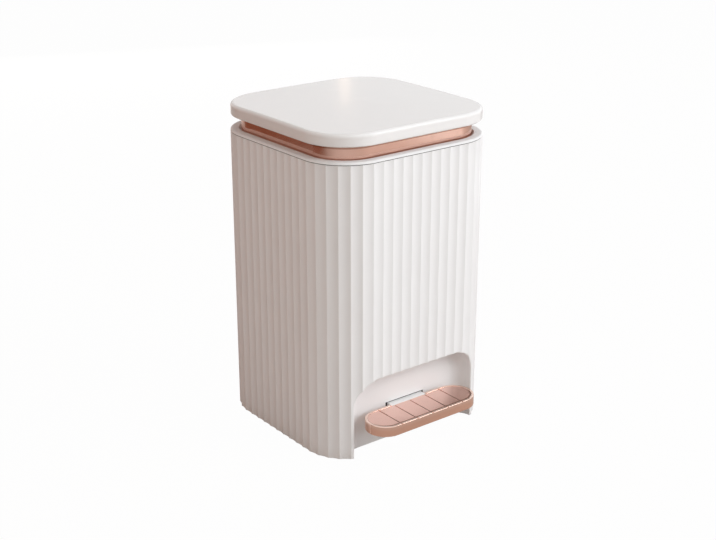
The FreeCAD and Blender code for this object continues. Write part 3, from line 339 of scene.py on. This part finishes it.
def makeBucketGrey(name, look):
    # matt inner bucket with a spark-eroded grain and a few scrapes down its walls
    finish, wire, place = startFinish(name)
    grain = noise(wire, place, look["grain"])
    scrape = noise(wire, place, look["scrapes"])
    cloud = noise(wire, place, look["clouds"])
    colour = (look["cloudShare"] * cloud + look["scrapeShare"] * scrape).blend(
        rgb(look["grey"]), rgb(look["dark"]))
    rough = look["roughness"] + look["grainRough"] * grain - look["scrapeShine"] * scrape
    finishSurface(wire, {"Base Color": colour, "Roughness": rough, "IOR": look["ior"]},
                  grain, look["bump"])
    return finish


nylonLook = {
    "white": (0.80, 0.79, 0.76),
    "worn": (0.66, 0.63, 0.58),
    "grease": {"scale": 120.0, "detail": 4.0, "levels": (0.50, 0.72)},
    "grain": {"scale": 1300.0, "detail": 2.0},
    "bump": {"strength": 0.12, "depth": 0.0002},
    "greaseShare": 0.6,
    "roughness": 0.38,
    "greaseShine": 0.14,
    "grainRough": 0.05,
    "ior": 1.53,
}


def makeNylon(name, look):
    # bearing pieces in pale nylon, greyed by grease
    finish, wire, place = startFinish(name)
    grease = noise(wire, place, look["grease"])
    grain = noise(wire, place, look["grain"])
    colour = (look["greaseShare"] * grease).blend(rgb(look["white"]), rgb(look["worn"]))
    rough = look["roughness"] - look["greaseShine"] * grease + look["grainRough"] * grain
    finishSurface(wire, {"Base Color": colour, "Roughness": rough, "IOR": look["ior"]},
                  grain, look["bump"])
    return finish


steelLook = {
    "bright": (0.66, 0.66, 0.65),
    "dull": (0.46, 0.46, 0.47),
    "drawn": {"scale": 700.0, "detail": 3.0, "levels": (0.35, 0.65), "stretch": (1, 1, 0.04)},
    "spangles": {"scale": 220.0, "detail": 2.0, "levels": (0.42, 0.62)},
    "bump": {"strength": 0.08, "depth": 0.0001},
    "spangleShare": 0.5,
    "drawnShare": 0.3,
    "roughness": 0.26,
    "spangleRough": 0.16,
    "drawnRough": 0.08,
}


def makeSteel(name, look):
    # zinc-plated rod, pins and screws, with lines drawn upright
    finish, wire, place = startFinish(name)
    drawn = noise(wire, place, look["drawn"])
    spangle = noise(wire, place, look["spangles"])
    colour = (look["spangleShare"] * spangle + look["drawnShare"] * drawn).blend(
        rgb(look["bright"]), rgb(look["dull"]))
    rough = look["roughness"] + look["spangleRough"] * spangle + look["drawnRough"] * drawn
    finishSurface(wire, {"Base Color": colour, "Metallic": 1.0, "Roughness": rough},
                  drawn, look["bump"])
    return finish


rubberLook = {
    "grey": (0.055, 0.055, 0.058),
    "dusty": (0.16, 0.155, 0.15),
    "pores": {"scale": 1100.0, "detail": 3.0},
    "dust": {"scale": 150.0, "detail": 4.0, "levels": (0.5, 0.75)},
    "bump": {"strength": 0.35, "depth": 0.0003},
    "dustShare": 0.7,
    "roughness": 0.72,
    "dustRough": 0.15,
    "ior": 1.52,
}


def makeRubber(name, look):
    # soft feet, bumpers and seal, with dust on them
    finish, wire, place = startFinish(name)
    dust = noise(wire, place, look["dust"])
    colour = (look["dustShare"] * dust).blend(rgb(look["grey"]), rgb(look["dusty"]))
    rough = look["roughness"] + look["dustRough"] * dust
    finishSurface(wire, {"Base Color": colour, "Roughness": rough, "IOR": look["ior"]},
                  noise(wire, place, look["pores"]), look["bump"])
    return finish


finishes = {
    "shell_white": makeShellWhite("shellWhite", shellLook),
    "lid_white": makeLidWhite("lidWhite", lidLook),
    "rose_gold": makeRoseGold("roseGold", roseLook),
    "bucket_grey": makeBucketGrey("bucketGrey", bucketLook),
    "mechanism_white": makeNylon("nylonWhite", nylonLook),
    "steel": makeSteel("zincSteel", steelLook),
    "rubber_grey": makeRubber("footRubber", rubberLook),
}
for row in frame["record"]["subparts"]:
    piece = nodes[row["node"]]
    for holder in piece.material_slots:
        holder.material = finishes[row["material_slot"]]
print("finishes on", len(nodes), "nodes")


pureWhite = (1.0, 1.0, 1.0, 1.0)
aim = (0.0, 0.0, 0.2)  # lamps and card face this point of the bin


def sightRays(wire):
    # what the eye sees straight, and what it sees in a mirror or through glass
    seen = wire.node("ShaderNodeLightPath", output="Is Camera Ray")
    outputs = seen.socket.node.outputs
    mirrored = Wire(wire.tree, outputs["Is Glossy Ray"])
    return seen, mirrored.larger(Wire(wire.tree, outputs["Is Transmission Ray"]))


def finishGlow(wire, matt, white):
    # a matt surface that shows plain white where the second value is 1
    glow = wire.node("ShaderNodeEmission", None, {"Color": pureWhite, "Strength": 1.0})
    both = wire.node("ShaderNodeMixShader", None, {0: white, 1: matt, 2: glow})
    wire.node("ShaderNodeOutputMaterial", None, {"Surface": both})


def turnTo(thing, point, forward):
    # faces the point with one of the thing's axes
    ahead = Vector(point) - thing.location
    thing.rotation_euler = ahead.to_track_quat(forward, "Y").to_euler()


def makeSheet(name, half, finish):
    # a flat square, for the floor and the card
    mesh = bpy.data.meshes.new(name)
    build = bmesh.new()
    bmesh.ops.create_grid(build, x_segments=1, y_segments=1, size=half)
    build.to_mesh(mesh)
    build.free()
    sheet = bpy.data.objects.new(name, mesh)
    bpy.context.scene.collection.objects.link(sheet)
    mesh.materials.append(finish)
    return sheet


floorLook = {
    "half": 12.0,
    "shade": (0.57, 0.505, 0.47),
    "seenWhite": 0.98,
    "farWhite": 1.0,             # a strip to the right, white in mirrors
    "farStart": (0.88, 1.0),
    "farEnd": (1.45, 1.15),
    "nearWhite": 0.32,           # the front left, paler in mirrors
    "nearFront": (0.3, -1.1),
    "nearLeft": (0.3, -0.6),
}


def makeFloor(look):
    # a plain pale floor that looks white to the eye, and partly white in a mirror
    finish, wire, place = startFinish("paleFloor")
    x, y, _ = axes(wire, place)
    matt = wire.node("ShaderNodeBsdfPrincipled", None, {
        "Base Color": rgb(look["shade"]), "Roughness": 1.0, "Specular IOR Level": 0.0})
    straight, mirrored = sightRays(wire)
    far = look["farWhite"] * x.rise(*look["farStart"]) * x.rise(*look["farEnd"])
    near = look["nearWhite"] * y.rise(*look["nearFront"]) * x.rise(*look["nearLeft"])
    finishGlow(wire, matt, (look["seenWhite"] * straight).larger(mirrored * far.larger(near)))
    makeSheet("floor", look["half"], finish)


cardLook = {
    "place": (-0.85, 0.60, 0.70),
    "half": 0.90,
    "shade": (0.35, 0.16, 0.10),
    "whiteFrom": (-0.30, -0.22),  # along the card, from its middle up
}


def makeCard(look):
    # a warm brown card beside the bin, out of the picture, that shades its left side;
    # mirrors see all but its lower part white
    finish, wire, place = startFinish("brownCard")
    upwards = axes(wire, place)[1]
    matt = wire.node("ShaderNodeBsdfDiffuse", None, {"Color": rgb(look["shade"])})
    mirrored = sightRays(wire)[1]
    finishGlow(wire, matt, mirrored * upwards.rise(*look["whiteFrom"]))
    card = makeSheet("sideCard", look["half"], finish)
    card.location = look["place"]
    turnTo(card, aim, "Z")
    card.visible_camera = False


skyLook = {"shade": (0.985, 0.993, 1.0), "strength": 0.42}


def makeSky(look):
    # a dim even sky, white to the eye and in mirrors
    world = bpy.data.worlds.new("sky")
    bpy.context.scene.world = world
    world.use_nodes = True
    world.node_tree.nodes.clear()
    wire = Wire(world.node_tree)
    dim = wire.node("ShaderNodeBackground", None, {
        "Color": rgb(look["shade"]), "Strength": look["strength"]})
    white = wire.node("ShaderNodeBackground", None, {"Color": pureWhite, "Strength": 1.0})
    straight, mirrored = sightRays(wire)
    both = wire.node("ShaderNodeMixShader", None, {
        0: straight.larger(mirrored), 1: dim, 2: white})
    wire.node("ShaderNodeOutputWorld", None, {"Surface": both})


# a lamp with a glint shows only in reflections, and the others never do
lamps = {
    "keyLight": {"place": (1.9, -2.25, 1.5), "size": (2.2, 2.2), "watts": 76.5,
                 "shade": (0.94, 0.97, 1.0)},
    "topLight": {"place": (0.1, -0.2, 2.4), "size": (2.0, 2.0), "watts": 6.6,
                 "shade": (1.0, 0.99, 0.98)},
    "fillLight": {"place": (-1.08, -0.66, 0.75), "size": (0.4, 0.4), "watts": 2.65,
                  "shade": (1.0, 0.99, 0.93)},
    "backLight": {"place": (0.9, 2.3, 0.5), "size": (1.6, 0.8), "watts": 24.0,
                  "shade": (0.97, 0.985, 1.0)},
    "glintLight": {"place": (1.87, -2.25, 1.5), "size": (0.35, 1.0), "watts": 4.5,
                   "shade": (1.0, 0.99, 0.97), "glint": True},
    "sheenLight": {"place": (1.18, 1.594, 0.69), "size": (0.03, 0.38), "watts": 0.024,
                   "shade": (1.0, 0.72, 0.52), "glint": True},
}


def makeLamp(name, lamp):
    light = bpy.data.lights.new(name, "AREA")
    light.shape = "RECTANGLE"
    light.size, light.size_y = lamp["size"]
    light.energy = lamp["watts"]
    light.color = lamp["shade"]
    holder = bpy.data.objects.new(name, light)
    bpy.context.scene.collection.objects.link(holder)
    holder.location = lamp["place"]
    turnTo(holder, aim, "-Z")
    holder.visible_camera = False
    holder.visible_glossy = lamp.get("glint", False)
    holder.visible_diffuse = not holder.visible_glossy


view = {
    "place": (-0.93218, -1.19342, 0.76055),
    "aim": (0.00224, 0.01247, 0.18714),
    "lens": 65.20,
    "sensorWidth": 36.0,
}


def makeCamera():
    data = bpy.data.cameras.new("photoCamera")
    data.lens = view["lens"]
    data.sensor_width = view["sensorWidth"]
    data.sensor_fit = "HORIZONTAL"
    camera = bpy.data.objects.new("photoCamera", data)
    bpy.context.scene.collection.objects.link(camera)
    camera.location = view["place"]
    turnTo(camera, view["aim"], "-Z")
    bpy.context.scene.camera = camera


makeFloor(floorLook)
makeCard(cardLook)
makeSky(skyLook)
for name, lamp in lamps.items():
    makeLamp(name, lamp)
makeCamera()
bpy.context.scene.view_settings.view_transform = "Standard"
print("studio and camera set")
